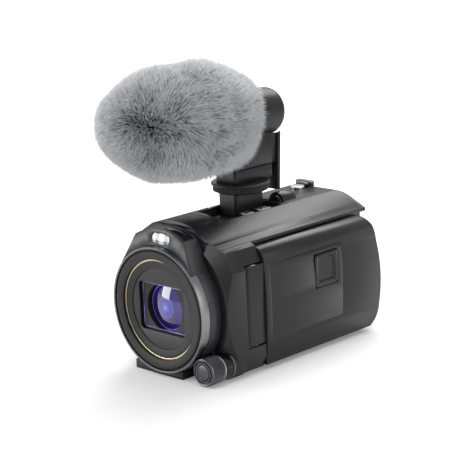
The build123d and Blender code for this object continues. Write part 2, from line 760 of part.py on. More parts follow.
def panel_section(inset):
    """Section of the closed panel: a bowed face under a rounded ridge, pulled in by inset."""
    face = panel_face - inset
    ridge_x, ridge_z = panel_ridge[0] - inset, panel_ridge[1] - inset
    with BuildSketch(Plane.XY, mode=Mode.PRIVATE) as shape:
        with BuildLine():
            Line((panel_inner, panel_bottom + inset), (face - 1.4, panel_bottom + inset))
            ThreePointArc((face - 1.4, panel_bottom + inset), (face, 27.0), (ridge_x, ridge_z))
            ThreePointArc(
                (ridge_x, ridge_z),
                (ridge_x - 1.6, panel_top - inset - 2.2),
                (ridge_x - 5.1, panel_top - inset),
            )
            Line((ridge_x - 5.1, panel_top - inset), (panel_inner, panel_top - inset))
            Line((panel_inner, panel_top - inset), (panel_inner, panel_bottom + inset))
        make_face()
    return shape.sketch


def panel_volume(inset):
    """The closed screen panel, pulled in by inset."""
    rear = panel_rear - inset
    with BuildPart() as side_view:
        with BuildSketch(Plane.YZ):
            with BuildLine():
                Line((panel_front + inset, panel_bottom), (rear - 7.5, panel_bottom))
                ThreePointArc((rear - 7.5, panel_bottom), (rear - 3.6, 5.6), (rear - 1.2, 12.0))
                ThreePointArc((rear - 1.2, 12.0), (rear, 24.0), (rear - 2.4, 45.0))
                ThreePointArc((rear - 2.4, 45.0), (rear - 4.6, 53.0), (rear - 8.5, panel_top))
                Line((rear - 8.5, panel_top), (panel_front + inset, panel_top))
                Line((panel_front + inset, panel_top), (panel_front + inset, panel_bottom))
            make_face()
        extrude(amount=60)
    with BuildPart() as volume:
        with BuildSketch(cross_plane(panel_front + inset)):
            add(panel_section(inset))
        extrude(amount=100, dir=REARWARD)
        add(side_view.part, mode=Mode.INTERSECT)
    return volume.part


panel_outer = panel_volume(0)
panel_core = panel_volume(skin)
panel_hollow = panel_volume(panel_rim)
label_block = block((panel_split + 1, far), label_y, label_z)
window_block = block((panel_split + 1, far), window_y, window_z)
window_seat = block((panel_split, far), window_y, window_z)

with BuildPart() as label_skin:
    add(panel_outer)
    add(panel_core, mode=Mode.SUBTRACT)
    add(label_block, mode=Mode.INTERSECT)

with BuildPart() as lcd_outer_cover:
    add(panel_outer)
    add(block((panel_split, far), (-far, far), (0, far)), mode=Mode.INTERSECT)
    add(panel_hollow, mode=Mode.SUBTRACT)
    add(label_skin.part, mode=Mode.SUBTRACT)
    add(window_seat, mode=Mode.SUBTRACT)

with BuildPart() as lcd_label_panel:
    add(label_skin.part)
    add(window_block, mode=Mode.SUBTRACT)

window_rear = panel_face - panel_rim - 1.0
with BuildPart() as projector_window:
    add(panel_outer)
    seat = block(
        (window_rear, far),
        (window_y[0] + 0.1, window_y[1] - 0.1),
        (window_z[0] + 0.1, window_z[1] - 0.1),
    )
    add(seat, mode=Mode.INTERSECT)

with BuildPart() as projector_module:
    module_y = (window_y[0] - 4, window_y[1] + 4)
    module_z = (window_z[0] - 3, window_z[1] + 1)
    add(block((panel_split + 0.1, window_rear - 0.1), module_y, module_z))

with BuildPart() as lcd_inner_frame:
    add(panel_outer)
    add(block((0, panel_split), (-far, far), (0, far)), mode=Mode.INTERSECT)
    screen_y = (screen_centre[0] - screen_size[0] / 2, screen_centre[0] + screen_size[0] / 2)
    screen_z = (screen_centre[1] - screen_size[1] / 2, screen_centre[1] + screen_size[1] / 2)
    add(block((0, panel_inner + screen_depth), screen_y, screen_z), mode=Mode.SUBTRACT)

with BuildPart() as lcd_screen:
    add(
        block(
            (panel_inner + 0.1, panel_inner + screen_depth),
            (screen_y[0] + 0.1, screen_y[1] - 0.1),
            (screen_z[0] + 0.1, screen_z[1] - 0.1),
        )
    )

with BuildPart() as hinge_arm:
    add(block((arm_inner, arm_face), (arm_front, panel_front), (arm_bottom, arm_top)))
    front_edge = hinge_arm.edges().filter_by(Axis.Z).sort_by(Axis.Y)[:2].sort_by(Axis.X)[-1]
    chamfer(front_edge, 1.2)
    with Locations((hinge_x, hinge_y, 0)):
        Cylinder(hinge_pin_radius + running_gap, 200, mode=Mode.SUBTRACT)

ear_gap = 0.2
with BuildPart() as hinge_bracket:
    add(block((19.0, 20.6), (-33, -22), (arm_bottom - 3, arm_top + 3)))
    for low, high in ((arm_bottom - 3, arm_bottom - ear_gap), (arm_top + ear_gap, arm_top + 3)):
        add(block((20.6, 31.8), (-31, -23.2), (low, high)))
    add(inner_volume, mode=Mode.INTERSECT)
    with BuildSketch(Plane.XY.offset(arm_bottom - ear_gap)):
        with Locations((hinge_x, hinge_y)):
            Circle(hinge_pin_radius)
    extrude(amount=arm_top - arm_bottom + 2 * ear_gap)


def bay_button(y):
    """A round key in the bay wall, standing 0.5 mm proud."""
    with BuildPart() as key:
        with BuildSketch(Plane.YZ.offset(bay_wall - wall - 0.6)):
            with Locations((y, 44)):
                Circle(2.5)
        extrude(amount=wall + 0.6 + 0.5)
    return key


power_button = bay_button(-6)
projector_button = bay_button(6)

# ---- microphone -----------------------------------------------------------------------
with BuildPart() as mic_foot:
    with BuildSketch(Plane.XY.offset(well_floor)):
        with Locations((mic_x, (foot_front + foot_rear) / 2)):
            Rectangle(foot_width, foot_rear - foot_front)
    extrude(amount=foot_top - well_floor)
    chamfer(mic_foot.edges().filter_by(Axis.Z), 1.4)

with BuildPart() as lock_ring:
    with BuildSketch(Plane.XY.offset(lock_bottom)):
        with Locations((mic_x, mic_y)):
            Circle(lock_radius)
            Circle(neck_radius + running_gap, mode=Mode.SUBTRACT)
    extrude(amount=lock_top - lock_bottom)
    chamfer(lock_ring.faces().sort_by(Axis.Z)[0].edges().sort_by(SortBy.LENGTH)[-1], 1.6)
    fillet(lock_ring.faces().sort_by(Axis.Z)[-1].edges().sort_by(SortBy.LENGTH)[-1], 0.6)

with BuildPart() as mic_collar:
    with BuildSketch(Plane.XY.offset(foot_top)):
        with Locations((mic_x, mic_y)):
            Circle(neck_radius)
    extrude(amount=lock_top + 0.1 - foot_top)
    with BuildSketch(Plane.XY.offset(lock_top + 0.1)):
        with Locations((mic_x, (slab_front + slab_rear) / 2 + mic_y)):
            RectangleRounded(slab_width + 1.6, slab_rear - slab_front + 1.0, 2.0)
    extrude(amount=collar_top - lock_top - 0.1)

below_collar = block((-60, 60), (-60, 60), (0, collar_top))
with BuildPart() as barrel_clearance:
    with BuildSketch(mic_end_plane.offset(mic_barrel_front)):
        with Locations((0, -barrel_axis)):
            Circle(mic_barrel_radius + seam_gap)
    extrude(amount=mic_barrel_end + 8 - mic_barrel_front)


def slab(front, rear, bottom, width):
    """An upright plate under the microphone barrel, in the tilted microphone's own frame."""
    with BuildPart(mode=Mode.PRIVATE) as plate:
        with BuildSketch(mic_plane.offset(bottom)):
            with Locations((0, (front + rear) / 2)):
                Rectangle(width, rear - front)
        extrude(amount=barrel_axis - bottom)
        add(barrel_clearance.part, mode=Mode.SUBTRACT)
    return plate


with BuildPart() as mic_body:
    add(slab(slab_front, slab_rear, 0, slab_width).part)
    add(below_collar, mode=Mode.SUBTRACT)
    add(slab(grommet_rear, tail_rear, tail_drop, slab_width).part)

with BuildPart() as mic_grommet:
    add(slab(slab_rear, grommet_rear, 4.0, slab_width - 2.4).part)
    add(below_collar, mode=Mode.SUBTRACT)

with BuildPart() as mic_barrel:
    with BuildSketch(mic_end_plane.offset(mic_barrel_front)):
        with Locations((0, -barrel_axis)):
            Circle(mic_barrel_radius)
    extrude(amount=mic_barrel_end + 3.0 - mic_barrel_front)
    fillet(mic_barrel.edges().sort_by(Axis.Y)[-1], 4.5)

muff_axis = Axis((mic_plane.from_local_coords(Vector(0, 0, barrel_axis))), mic_back)
muff_side = Plane(
    mic_plane.from_local_coords(Vector(0, muff_centre, barrel_axis)), x_dir=mic_back, z_dir=(1, 0, 0)
)
with BuildPart() as wind_muff:
    with BuildSketch(muff_side):
        Ellipse(muff_half_length, muff_radius)
        with Locations((0, -muff_radius)):
            Rectangle(2 * muff_half_length + 2, 2 * muff_radius, mode=Mode.SUBTRACT)
    revolve(axis=muff_axis)
    with BuildSketch(mic_end_plane.offset(mic_barrel_front - slip)):
        with Locations((0, -barrel_axis)):
            Circle(mic_barrel_radius + slip)
    extrude(amount=120, mode=Mode.SUBTRACT)
    with BuildSketch(mic_plane):
        with Locations((0, slab_front - slip - 1 + 30)):
            Rectangle(slab_width + 2 * slip + 1, 60)
    extrude(amount=barrel_axis, mode=Mode.SUBTRACT)

# ---- files ----------------------------------------------------------------------------
pieces = {
    "front_hood": front_hood,
    "lens_bezel": lens_bezel,
    "filter_ring": filter_ring,
    "trim_ring": trim_ring,
    "name_ring": name_ring,
    "front_plate": front_plate,
    "shutter_upper": shutter_upper,
    "shutter_lower": shutter_lower,
    "gap_ring": gap_ring,
    "front_lens": front_lens,
    "lens_barrel": lens_barrel,
    "lens_groups": lens_groups,
    "image_sensor": image_sensor,
    "main_board": main_board,
    "side_casing": side_casing,
    "grip_casing": grip_casing,
    "top_cover": top_cover,
    "rear_panel": rear_panel,
    "base_plate": base_plate,
    "screws": screws,
    "tripod_socket": tripod_socket,
    "card_door": card_door,
    "lamp_window": lamp_window,
    "flash_window": flash_window,
    "dial_collar": dial_collar,
    "dial_label_ring": dial_label_ring,
    "manual_dial": manual_dial,
    "dial_button": dial_button,
    "shoe_cover": shoe_cover,
    "shoe_frame": shoe_frame,
    "shoe_rails": shoe_rails,
    "deck_cap": deck_cap,
    "photo_button": photo_button,
    "zoom_lever": zoom_lever,
    "start_stop_button": start_stop_button,
    "battery_pack": battery_pack,
    "battery_lever": battery_lever,
    "viewfinder_tube": viewfinder_tube,
    "viewfinder_lens": viewfinder_lens,
    "eyecup": eyecup,
    "jack_cover": jack_cover,
    "grip_strap": grip_strap,
    "strap_anchors": strap_anchors,
    "lcd_outer_cover": lcd_outer_cover,
    "lcd_label_panel": lcd_label_panel,
    "projector_window": projector_window,
    "projector_module": projector_module,
    "lcd_inner_frame": lcd_inner_frame,
    "lcd_screen": lcd_screen,
    "hinge_arm": hinge_arm,
    "hinge_bracket": hinge_bracket,
    "power_button": power_button,
    "projector_button": projector_button,
    "mic_foot": mic_foot,
    "lock_ring": lock_ring,
    "mic_collar": mic_collar,
    "mic_body": mic_body,
    "mic_grommet": mic_grommet,
    "mic_barrel": mic_barrel,
    "wind_muff": wind_muff,
}
for name, piece in pieces.items():
    piece.part.label = name
    export_step(piece.part, f"parts/{name}.step")
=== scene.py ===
# %% [markdown]
# # A pocket camcorder with a fur-covered microphone
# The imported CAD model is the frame: every piece is already at its real size and place, in metres.
# This lesson gives it its looks. First come the frame and its box, then the camera, the light and the
# floor, then one finish for each kind of surface, and last the pieces that CAD leaves plain: fur,
# knurled rings, the lens front and the hand strap.

# %% The frame
from math import cos, pi, radians, sin

import bpy
import numpy as np
from mathutils import Matrix, Vector


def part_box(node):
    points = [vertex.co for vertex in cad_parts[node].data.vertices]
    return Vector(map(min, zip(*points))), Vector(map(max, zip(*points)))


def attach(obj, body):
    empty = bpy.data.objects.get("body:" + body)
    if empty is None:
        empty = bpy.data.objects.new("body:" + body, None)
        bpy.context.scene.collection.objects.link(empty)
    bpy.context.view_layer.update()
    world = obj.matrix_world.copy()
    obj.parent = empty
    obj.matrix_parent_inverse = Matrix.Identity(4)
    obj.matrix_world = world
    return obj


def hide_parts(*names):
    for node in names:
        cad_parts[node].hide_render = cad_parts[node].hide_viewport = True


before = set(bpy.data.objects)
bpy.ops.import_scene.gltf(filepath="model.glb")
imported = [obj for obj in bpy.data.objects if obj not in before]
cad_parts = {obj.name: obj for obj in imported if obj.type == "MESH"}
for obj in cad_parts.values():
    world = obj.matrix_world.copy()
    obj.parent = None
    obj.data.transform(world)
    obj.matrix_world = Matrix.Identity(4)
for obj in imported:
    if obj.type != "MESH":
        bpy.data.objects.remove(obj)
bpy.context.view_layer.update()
MM = 0.001

# %% [markdown]
# ## Camera
# The view is a long lens from the front right, a little above the top deck, rolled slightly. The camera
# is placed by what it looks at, its distance and its three angles, so each can be changed by itself.

# %% Camera
target = Vector((-0.1, -7.2, 58.8)) * MM
distance = 760 * MM
azimuth, elevation, roll = radians(44.922), radians(13.78), radians(2.663)

back = Vector((sin(azimuth) * cos(elevation), -cos(azimuth) * cos(elevation), sin(elevation)))
right = Vector((cos(azimuth), sin(azimuth), 0))
up = back.cross(right)
right_rolled = right * cos(roll) - up * sin(roll)
up_rolled = right * sin(roll) + up * cos(roll)
turn = Matrix((right_rolled, up_rolled, back)).transposed().to_4x4()

camera_data = bpy.data.cameras.new("camera")
camera_data.lens, camera_data.sensor_width = 126.63, 36.0
camera_data.clip_start, camera_data.clip_end = 0.05, 20.0
camera = bpy.data.objects.new("camera", camera_data)
camera.matrix_world = Matrix.Translation(target + back * distance) @ turn
bpy.context.scene.collection.objects.link(camera)
bpy.context.scene.camera = camera
bpy.context.scene.view_settings.view_transform = "Standard"
print("camera at", [round(v / MM, 1) for v in camera.matrix_world.translation])

# %% [markdown]
# ## A short way to write shader maths
# A material is a net of nodes. Wrapping a socket in a small class lets the net be written as sums and
# products: each operator adds its own Math node. Every other node comes from one method.


# %% Shader maths
class Wire:
    """A socket of a material. Arithmetic on it adds Math nodes; plain numbers may stand on either side."""

    def __init__(self, tree, socket):
        self.tree, self.socket = tree, socket

    def node(self, kind, settings=None, inputs=None, output=0):
        """Adds a node of this kind, sets it, feeds its sockets and returns one of its outputs."""
        made = self.tree.nodes.new(kind)
        for key, value in (settings or {}).items():
            if key == "stops":
                ramp = made.color_ramp
                while len(ramp.elements) < len(value):
                    ramp.elements.new(0.5)
                for element, (place, colour) in zip(ramp.elements, value):
                    element.position, element.color = place, (*colour, 1)
            else:
                setattr(made, key, value)
        for key, value in (inputs or {}).items():
            if isinstance(value, Wire):
                self.tree.links.new(value.socket, made.inputs[key])
            else:
                made.inputs[key].default_value = value
        return Wire(self.tree, made.outputs[output])

    def math(self, operation, *values):
        return self.node("ShaderNodeMath", {"operation": operation}, dict(enumerate(values)))

    def __add__(self, other):
        return self.math("ADD", self, other)

    def __sub__(self, other):
        return self.math("SUBTRACT", self, other)

    def __mul__(self, other):
        return self.math("MULTIPLY", self, other)

    def __truediv__(self, other):
        return self.math("DIVIDE", self, other)

    __radd__, __rmul__ = __add__, __mul__

    def band(self, low, high):
        """0 below low, 1 above high, and a smooth step between."""
        inputs = {"Value": self, "From Min": low, "From Max": high}
        return self.node("ShaderNodeMapRange", {"interpolation_type": "SMOOTHSTEP"}, inputs)

    def mix(self, first, second):
        """A colour between two, by this factor."""
        return self.node("ShaderNodeMix", {"data_type": "RGBA"}, {0: self, 6: first, 7: second}, 2)

    def noise(self, scale, detail=3.0):
        """Noise on this vector; scale is in repeats a metre."""
        return self.node("ShaderNodeTexNoise", {}, {"Vector": self, "Scale": scale, "Detail": detail})

    def parts(self):
        """The x, y and z of this vector."""
        made = self.node("ShaderNodeSeparateXYZ", {}, {0: self})
        return [Wire(self.tree, socket) for socket in made.socket.node.outputs]

    def bump(self, height_m):
        """A Normal from this height."""
        return self.node("ShaderNodeBump", {}, {"Height": self, "Distance": height_m, "Strength": 1.0})


def finish(name, constants, paint):
    """A material: constants go on the shader's own sockets, and paint(place) returns what varies."""
    material = bpy.data.materials.new(name)
    material.use_nodes = True
    tree = material.node_tree
    shader = next(n for n in tree.nodes if n.type == "BSDF_PRINCIPLED")
    for key, value in constants.items():
        shader.inputs[key].default_value = (*value, 1) if isinstance(value, tuple) else value
    coordinates = tree.nodes.new("ShaderNodeTexCoord")
    place = Wire(tree, coordinates.outputs["Object"])
    for key, wire in paint(place).items():
        tree.links.new(wire.socket, shader.inputs[key])
    return material


# %% [markdown]
# ## Finishes
# The body is a satin charcoal plastic with a very fine spark-eroded grain. Its colour is dark, so nearly
# all that the eye reads is the soft reflection of the studio, and the roughness matters more than the
# colour. A faint second noise varies the roughness, as handling does on a real casing.


# %% Plastic finishes
def plastic(name, colour, rough, grain=0.00002, grain_scale=2600.0, coat=0.0, lift=1.35):
    """Moulded plastic: slow noise moves the colour and the roughness, and fine noise is the grain."""
    lighter = tuple(min(1.0, c * lift) for c in colour)

    def paint(place):
        slow = place.noise(55.0, 3.0)
        fine = place.noise(grain_scale, 2.0)
        speck = place.noise(900.0, 2.0).band(0.62, 0.78)
        return {
            "Base Color": (slow * 0.7 + speck * 0.3).mix((*colour, 1), (*lighter, 1)),
            "Roughness": slow * 0.10 + fine * 0.05 + (rough - 0.075),
            "Normal": fine.bump(grain),
        }

    constants = {"Coat Weight": coat, "Coat Roughness": 0.12, "IOR": 1.44}
    return finish(name, constants, paint)


casing = plastic("satin charcoal", (0.0085, 0.0085, 0.0098), 0.33)
# The hood is a lighter copy of the casing plastic, so that it looks lit: painted light.
hood_painted_light_plastic = plastic("satin hood painted light", (0.026, 0.026, 0.028), 0.31)
black_matte = plastic("fine matte black", (0.011, 0.011, 0.012), 0.46, grain=0.00003)
black_gloss = plastic("polished black", (0.005, 0.005, 0.006), 0.13, grain=0.000002)
label_gloss = plastic("label panel", (0.0085, 0.0085, 0.010), 0.24, grain=0.000004)
plate_grey = plastic("front plate grey", (0.020, 0.020, 0.022), 0.42)
mic_plastic = plastic("microphone charcoal", (0.011, 0.011, 0.0125), 0.38)
rubber_soft = plastic("soft rubber", (0.010, 0.010, 0.010), 0.62, grain=0.00004, grain_scale=1700.0)
print("plastic finishes made")


# %% Metal finishes
def metal(name, colour, rough, across_axis=None, scale=9000.0, metallic=1.0):
    """Turned or drawn metal: fine lines across one axis change the roughness and the bump."""

    def paint(place):
        x, y, z = place.parts()
        streak = place.noise(700.0, 2.0)
        if across_axis is not None:
            line = (x, y, z)[across_axis]
            streak = line.node("ShaderNodeTexNoise", {"noise_dimensions": "1D"}, {"W": line, "Scale": scale})
        dirt = place.noise(160.0, 4.0)
        darker = tuple(c * 0.72 for c in colour)
        return {
            "Base Color": (dirt * 0.5 + streak * 0.5).mix((*darker, 1), (*colour, 1)),
            "Roughness": streak * 0.16 + dirt * 0.08 + (rough - 0.12),
            "Normal": streak.bump(0.000006),
        }

    return finish(name, {"Metallic": metallic}, paint)


gold = metal("gold ring", (0.80, 0.66, 0.42), 0.30)
silver = metal("satin silver", (0.74, 0.74, 0.76), 0.30)
dark_metal = metal("dark turned metal", (0.16, 0.16, 0.17), 0.34, across_axis=1)
steel = metal("steel", (0.48, 0.48, 0.49), 0.36)
gunmetal = metal("gunmetal bezel", (0.30, 0.30, 0.31), 0.30)

# %% [markdown]
# ## Assigning finishes to the CAD nodes
# A CAD node keeps its mesh, and only its material slots are filled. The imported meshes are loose
# triangles, so a Weld modifier joins them and a small Bevel gives every moulded edge the thin line of
# light that real edges have.

# %% Finish for each CAD node
node_finish = {
    casing: """side_casing grip_casing top_cover rear_panel base_plate lcd_outer_cover lcd_inner_frame
               hinge_arm shoe_cover jack_cover card_door deck_cap""",
    hood_painted_light_plastic: "front_hood lens_bezel",
    black_gloss: "flash_window dial_label_ring viewfinder_tube lcd_screen lens_groups viewfinder_lens",
    label_gloss: "lcd_label_panel",
    plate_grey: "front_plate",
    mic_plastic: "mic_foot mic_collar mic_body mic_barrel",
    black_matte: """filter_ring name_ring gap_ring shoe_frame mic_grommet lock_ring shutter_upper
                    shutter_lower battery_pack lens_barrel dial_collar start_stop_button power_button
                    projector_button image_sensor main_board projector_module""",
    rubber_soft: "eyecup grip_strap wind_muff",
    gold: "trim_ring",
    silver: "shoe_rails photo_button battery_lever",
    dark_metal: "manual_dial dial_button zoom_lever",
    steel: "screws tripod_socket hinge_bracket strap_anchors",
}
edge_width = {
    "lcd_outer_cover": 0.35, "hinge_arm": 0.45, "side_casing": 0.5, "grip_casing": 0.5, "top_cover": 0.5,
    "front_hood": 0.45, "mic_body": 0.9, "mic_collar": 0.8, "mic_foot": 0.5, "shoe_cover": 0.25,
    "lens_bezel": 0.35, "filter_ring": 0.25, "battery_pack": 0.5, "zoom_lever": 0.3, "rear_panel": 0.4,
    "manual_dial": 0.2, "dial_button": 0.3, "base_plate": 0.3, "deck_cap": 0.3,
}


def dress(node, material):
    """Gives one CAD node its finish, joined triangles and softly rounded edges."""
    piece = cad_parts[node]
    piece.data.materials.clear()
    piece.data.materials.append(material)
    piece.data.polygons.foreach_set("use_smooth", [True] * len(piece.data.polygons))
    weld = piece.modifiers.new("join", "WELD")
    weld.merge_threshold = 0.000002
    bevel = piece.modifiers.new("edges", "BEVEL")
    bevel.width = edge_width.get(node, 0.12) * MM
    bevel.segments = 2
    bevel.limit_method, bevel.angle_limit = "ANGLE", radians(28)
    bevel.harden_normals = True
    bevel.use_clamp_overlap = True


for material, names in node_finish.items():
    for name in names.split():
        dress(name, material)
dressed = sum(len(names.split()) for names in node_finish.values())
print("dressed", dressed, "of", len(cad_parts), "nodes")

# %% [markdown]
# ## Turned rings
# Many parts of a camcorder are turned: the lens rings, the dial and the microphone's lock ring. Each is a
# section carried round an axis. Knurling is a ripple on the radius, so that grip ribs are real shape.


# %% A turned piece
def sheet_mesh(name, points, closed_u, closed_v, body, material):
    """A piece from a grid of points, (rows, columns, 3) in metres.

    closed_u joins the last row to the first, and closed_v the last column to the first. The faces are
    turned round where the signed volume of the surface is negative, so that normals point outwards.
    """
    rows, columns = points.shape[:2]
    index = np.arange(rows * columns).reshape(rows, columns)
    if closed_u:
        index = np.concatenate([index, index[:1]])
    if closed_v:
        index = np.concatenate([index, index[:, :1]], axis=1)
    quads = np.stack([index[:-1, :-1], index[1:, :-1], index[1:, 1:], index[:-1, 1:]], axis=-1)
    corners = points.reshape(-1, 3)[quads.reshape(-1, 4)]
    diagonals = np.cross(corners[:, 2] - corners[:, 0], corners[:, 3] - corners[:, 1])
    if np.sum(diagonals * (corners.mean(1) - points.reshape(-1, 3).mean(0))) < 0:
        quads = quads[..., ::-1]
    mesh = bpy.data.meshes.new(name)
    mesh.from_pydata(points.reshape(-1, 3).tolist(), [], quads.reshape(-1, 4).tolist())
    mesh.validate()
    mesh.materials.append(material)
    piece = bpy.data.objects.new(name, mesh)
    bpy.context.scene.collection.objects.link(piece)
    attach(piece, body)
    return piece


def smooth(piece, angle=32):
    """Smooth shading that keeps corners sharper than angle, in degrees."""
    piece.data.polygons.foreach_set("use_smooth", [True] * len(piece.data.polygons))
    piece.data.set_sharp_from_angle(angle=radians(angle))
    return piece


def dense(section, step):
    """The corners of a section with points added along each side, so that no side is longer than step."""
    section = np.array(section, float)
    following = np.roll(section, -1, axis=0)
    pieces = []
    for first, second in zip(section, following):
        count = max(1, int(np.ceil(np.linalg.norm(second - first) / step)))
        share = np.arange(count)[:, None] / count
        pieces.append(first + (second - first) * share)
    return np.concatenate(pieces)


rib_step, points_per_rib = 0.6, 8


def turned(name, centre, axis, section, body, material, ribs=0, rib_depth=0.0, rib_span=(0, 0), turns=192):
    """A closed section (along the axis, radius), in mm, carried round the axis through centre.

    point = centre + along * axis + r * (cos(t) * side + sin(t) * other), where inside rib_span
    r = radius - rib_depth * (1 - |cos(ribs * t / 2)|) on the outermost part of the section.
    """
    if ribs:
        section = dense(section, rib_step)
        turns = ribs * points_per_rib
    section, axis = np.array(section, float), np.array(axis, float)
    side = np.cross(axis, (0.0, 0.0, 1.0) if abs(axis[2]) < 0.9 else (1.0, 0.0, 0.0))
    side /= np.linalg.norm(side)
    other = np.cross(axis, side)
    t = np.linspace(0, 2 * pi, turns, endpoint=False)
    along, radius = section[:, 0][:, None], section[:, 1][:, None]
    outer = radius > section[:, 1].max() - 1.0
    ribbed = outer & (along > rib_span[0]) & (along < rib_span[1])
    r = radius - ribbed * rib_depth * (1 - np.abs(np.cos(ribs * t / 2))[None, :])
    ring = np.cos(t)[:, None] * side + np.sin(t)[:, None] * other
    points = (along[..., None] * axis + r[..., None] * ring[None]) * MM + np.array(centre)
    return smooth(sheet_mesh(name, points, True, True, body, material))


lens_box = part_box("lens_bezel")
lens_centre = np.array([0.0, 0.0, (lens_box[0].z + lens_box[1].z) / 2])
rear = (0.0, 1.0, 0.0)


def front_of(node):
    """The y of a node's front, in mm."""
    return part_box(node)[0].y / MM


bezel_front = front_of("lens_bezel")
bezel = turned(
    "lens_bezel_rim", lens_centre, rear,
    [(bezel_front + 4.6, 29.6), (bezel_front + 0.9, 29.6), (bezel_front + 0.25, 29.35),
     (bezel_front, 28.9), (bezel_front + 0.3, 28.45), (bezel_front + 1.6, 28.3),
     (bezel_front + 4.6, 28.3)],
    "root", gunmetal,
)
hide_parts("lens_bezel")
ring_front = front_of("filter_ring")
thread = [(ring_front + 2.8, 27.6), (ring_front + 0.5, 27.6), (ring_front, 27.2), (ring_front, 25.6),
          (ring_front + 0.35, 24.4), (ring_front + 0.5, 23.6)]
for turn_number in range(3):
    start = ring_front + 0.6 + turn_number * 0.35
    thread += [(start, 23.8), (start + 0.17, 23.5)]
thread += [(ring_front + 1.7, 23.95), (ring_front + 2.8, 23.95)]
filter_piece = turned("filter_ring_threaded", lens_centre, rear, thread, "root", black_matte)
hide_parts("filter_ring")
print("lens rings:", len(bezel.data.polygons), "and", len(filter_piece.data.polygons), "faces")

# %% [markdown]
# ## Dial and lock ring
# The dial is knurled for a fingertip, with a bright turned lip round its button. The microphone's lock
# ring has coarser upright ribs under a smooth upper lip.

# %% Knurled dial and lock ring
dial_low, dial_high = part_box("manual_dial")
dial_centre = np.array([(dial_low.x + dial_high.x) / 2, 0, (dial_low.z + dial_high.z) / 2])
dial_front, dial_back, dial_r = dial_low.y / MM, dial_high.y / MM, (dial_high.x - dial_low.x) / 2 / MM
dial_piece = turned(
    "dial_knurled", dial_centre, rear,
    [(dial_back, dial_r - 0.3), (dial_back - 0.3, dial_r), (dial_front + 0.8, dial_r),
     (dial_front + 0.25, dial_r - 0.2),
     (dial_front, dial_r - 0.7), (dial_front + 0.15, dial_r - 1.1), (dial_front + 0.9, dial_r - 1.3),
     (dial_front + 0.9, 4.9),
     (dial_front + 0.1, 4.7), (dial_front + 0.1, 4.0), (dial_front + 0.5, 3.75),
     (dial_back - 2.8, 3.75), (dial_back - 2.8, 1.6), (dial_back, 1.6)],
    "dial", dark_metal, ribs=64, rib_depth=0.32, rib_span=(dial_front + 1.0, dial_back - 0.7),
)
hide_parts("manual_dial")

lock_low, lock_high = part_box("lock_ring")
lock_centre = np.array([(lock_low.x + lock_high.x) / 2, (lock_low.y + lock_high.y) / 2, 0])
lock_low_z, lock_high_z, lock_r = lock_low.z / MM, lock_high.z / MM, (lock_high.x - lock_low.x) / 2 / MM
lock_piece = turned(
    "lock_ring_ribbed", lock_centre, (0, 0, 1),
    [(lock_low_z, 5.4), (lock_low_z, 11.6), (lock_low_z + 0.5, 12.6), (lock_low_z + 0.8, 13.3),
     (lock_high_z - 1.5, 13.3), (lock_high_z - 1.35, lock_r - 0.4),
     (lock_high_z - 1.1, lock_r), (lock_high_z - 0.35, lock_r), (lock_high_z, lock_r - 0.4),
     (lock_high_z, 5.4)],
    "mic_lock", black_matte, ribs=70, rib_depth=0.45, rib_span=(lock_low_z + 0.75, lock_high_z - 1.45),
)
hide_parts("lock_ring")
for name, y, radius in (("dial_bright_ring", -47.3, 6.25), ("collar_bright_ring", -41.7, 6.6)):
    section = [(y, radius - 0.4), (y, radius), (y + 0.15, radius + 0.1), (y + 0.35, radius + 0.1),
               (y + 0.5, radius), (y + 0.5, radius - 0.4)]
    ring = turned(name, dial_centre, rear, section, "root", silver)
print("dial", len(dial_piece.data.polygons), "lock ring", len(lock_piece.data.polygons), "faces")

# %% [markdown]
# ## The front lens
# Coated glass looks violet and blue because its thin layers throw those colours back. The dome is one
# polished surface whose colour follows the distance from the axis and also glows, a painted glow: dark
# rings are painted shade for the barrel seen between the elements behind, the bright centre and the bright
# line at the ground edge of the front element are painted reflections, and the upper right is painted
# lighter.


# %% Coated glass
def glass_painted_light(place):
    """Painted light: colour by distance from the lens axis, with painted reflections and painted shade
    rings, lighter and bluer towards the upper right.
    """
    x, y, z = place.parts()
    across, height = x, z - lens_centre[2]
    radius = place.math("POWER", across * across + height * height, 0.5) / (11.4 * MM)
    # Painted reflections at the centre and in the bright ring near the rim; painted shade in the dark rings.
    stops = [
        (0.00, (0.30, 0.36, 0.80)), (0.10, (0.10, 0.11, 0.48)), (0.30, (0.035, 0.025, 0.22)),
        (0.42, (0.09, 0.07, 0.38)), (0.46, (0.014, 0.008, 0.08)), (0.70, (0.035, 0.012, 0.13)),
        (0.90, (0.05, 0.02, 0.17)), (0.955, (0.50, 0.38, 0.86)), (1.00, (0.06, 0.035, 0.18)),
    ]
    ramp = radius.node("ShaderNodeValToRGB", {"stops": stops}, {"Fac": radius})
    # Painted light: lighter and bluer towards the upper right.
    side = (across * 40.0 + height * 25.0).band(-0.4, 0.5)
    colour = side.mix((0.015, 0.008, 0.05, 1), (0.30, 0.26, 0.70, 1))
    painted = radius.node(
        "ShaderNodeMix", {"data_type": "RGBA", "blend_type": "SOFT_LIGHT"}, {0: 0.65, 6: ramp, 7: colour}, 2
    )
    # The same colour feeds the emission: a painted glow.
    return {"Base Color": painted, "Emission Color": painted, "Roughness": place.noise(300.0) * 0.02 + 0.04}


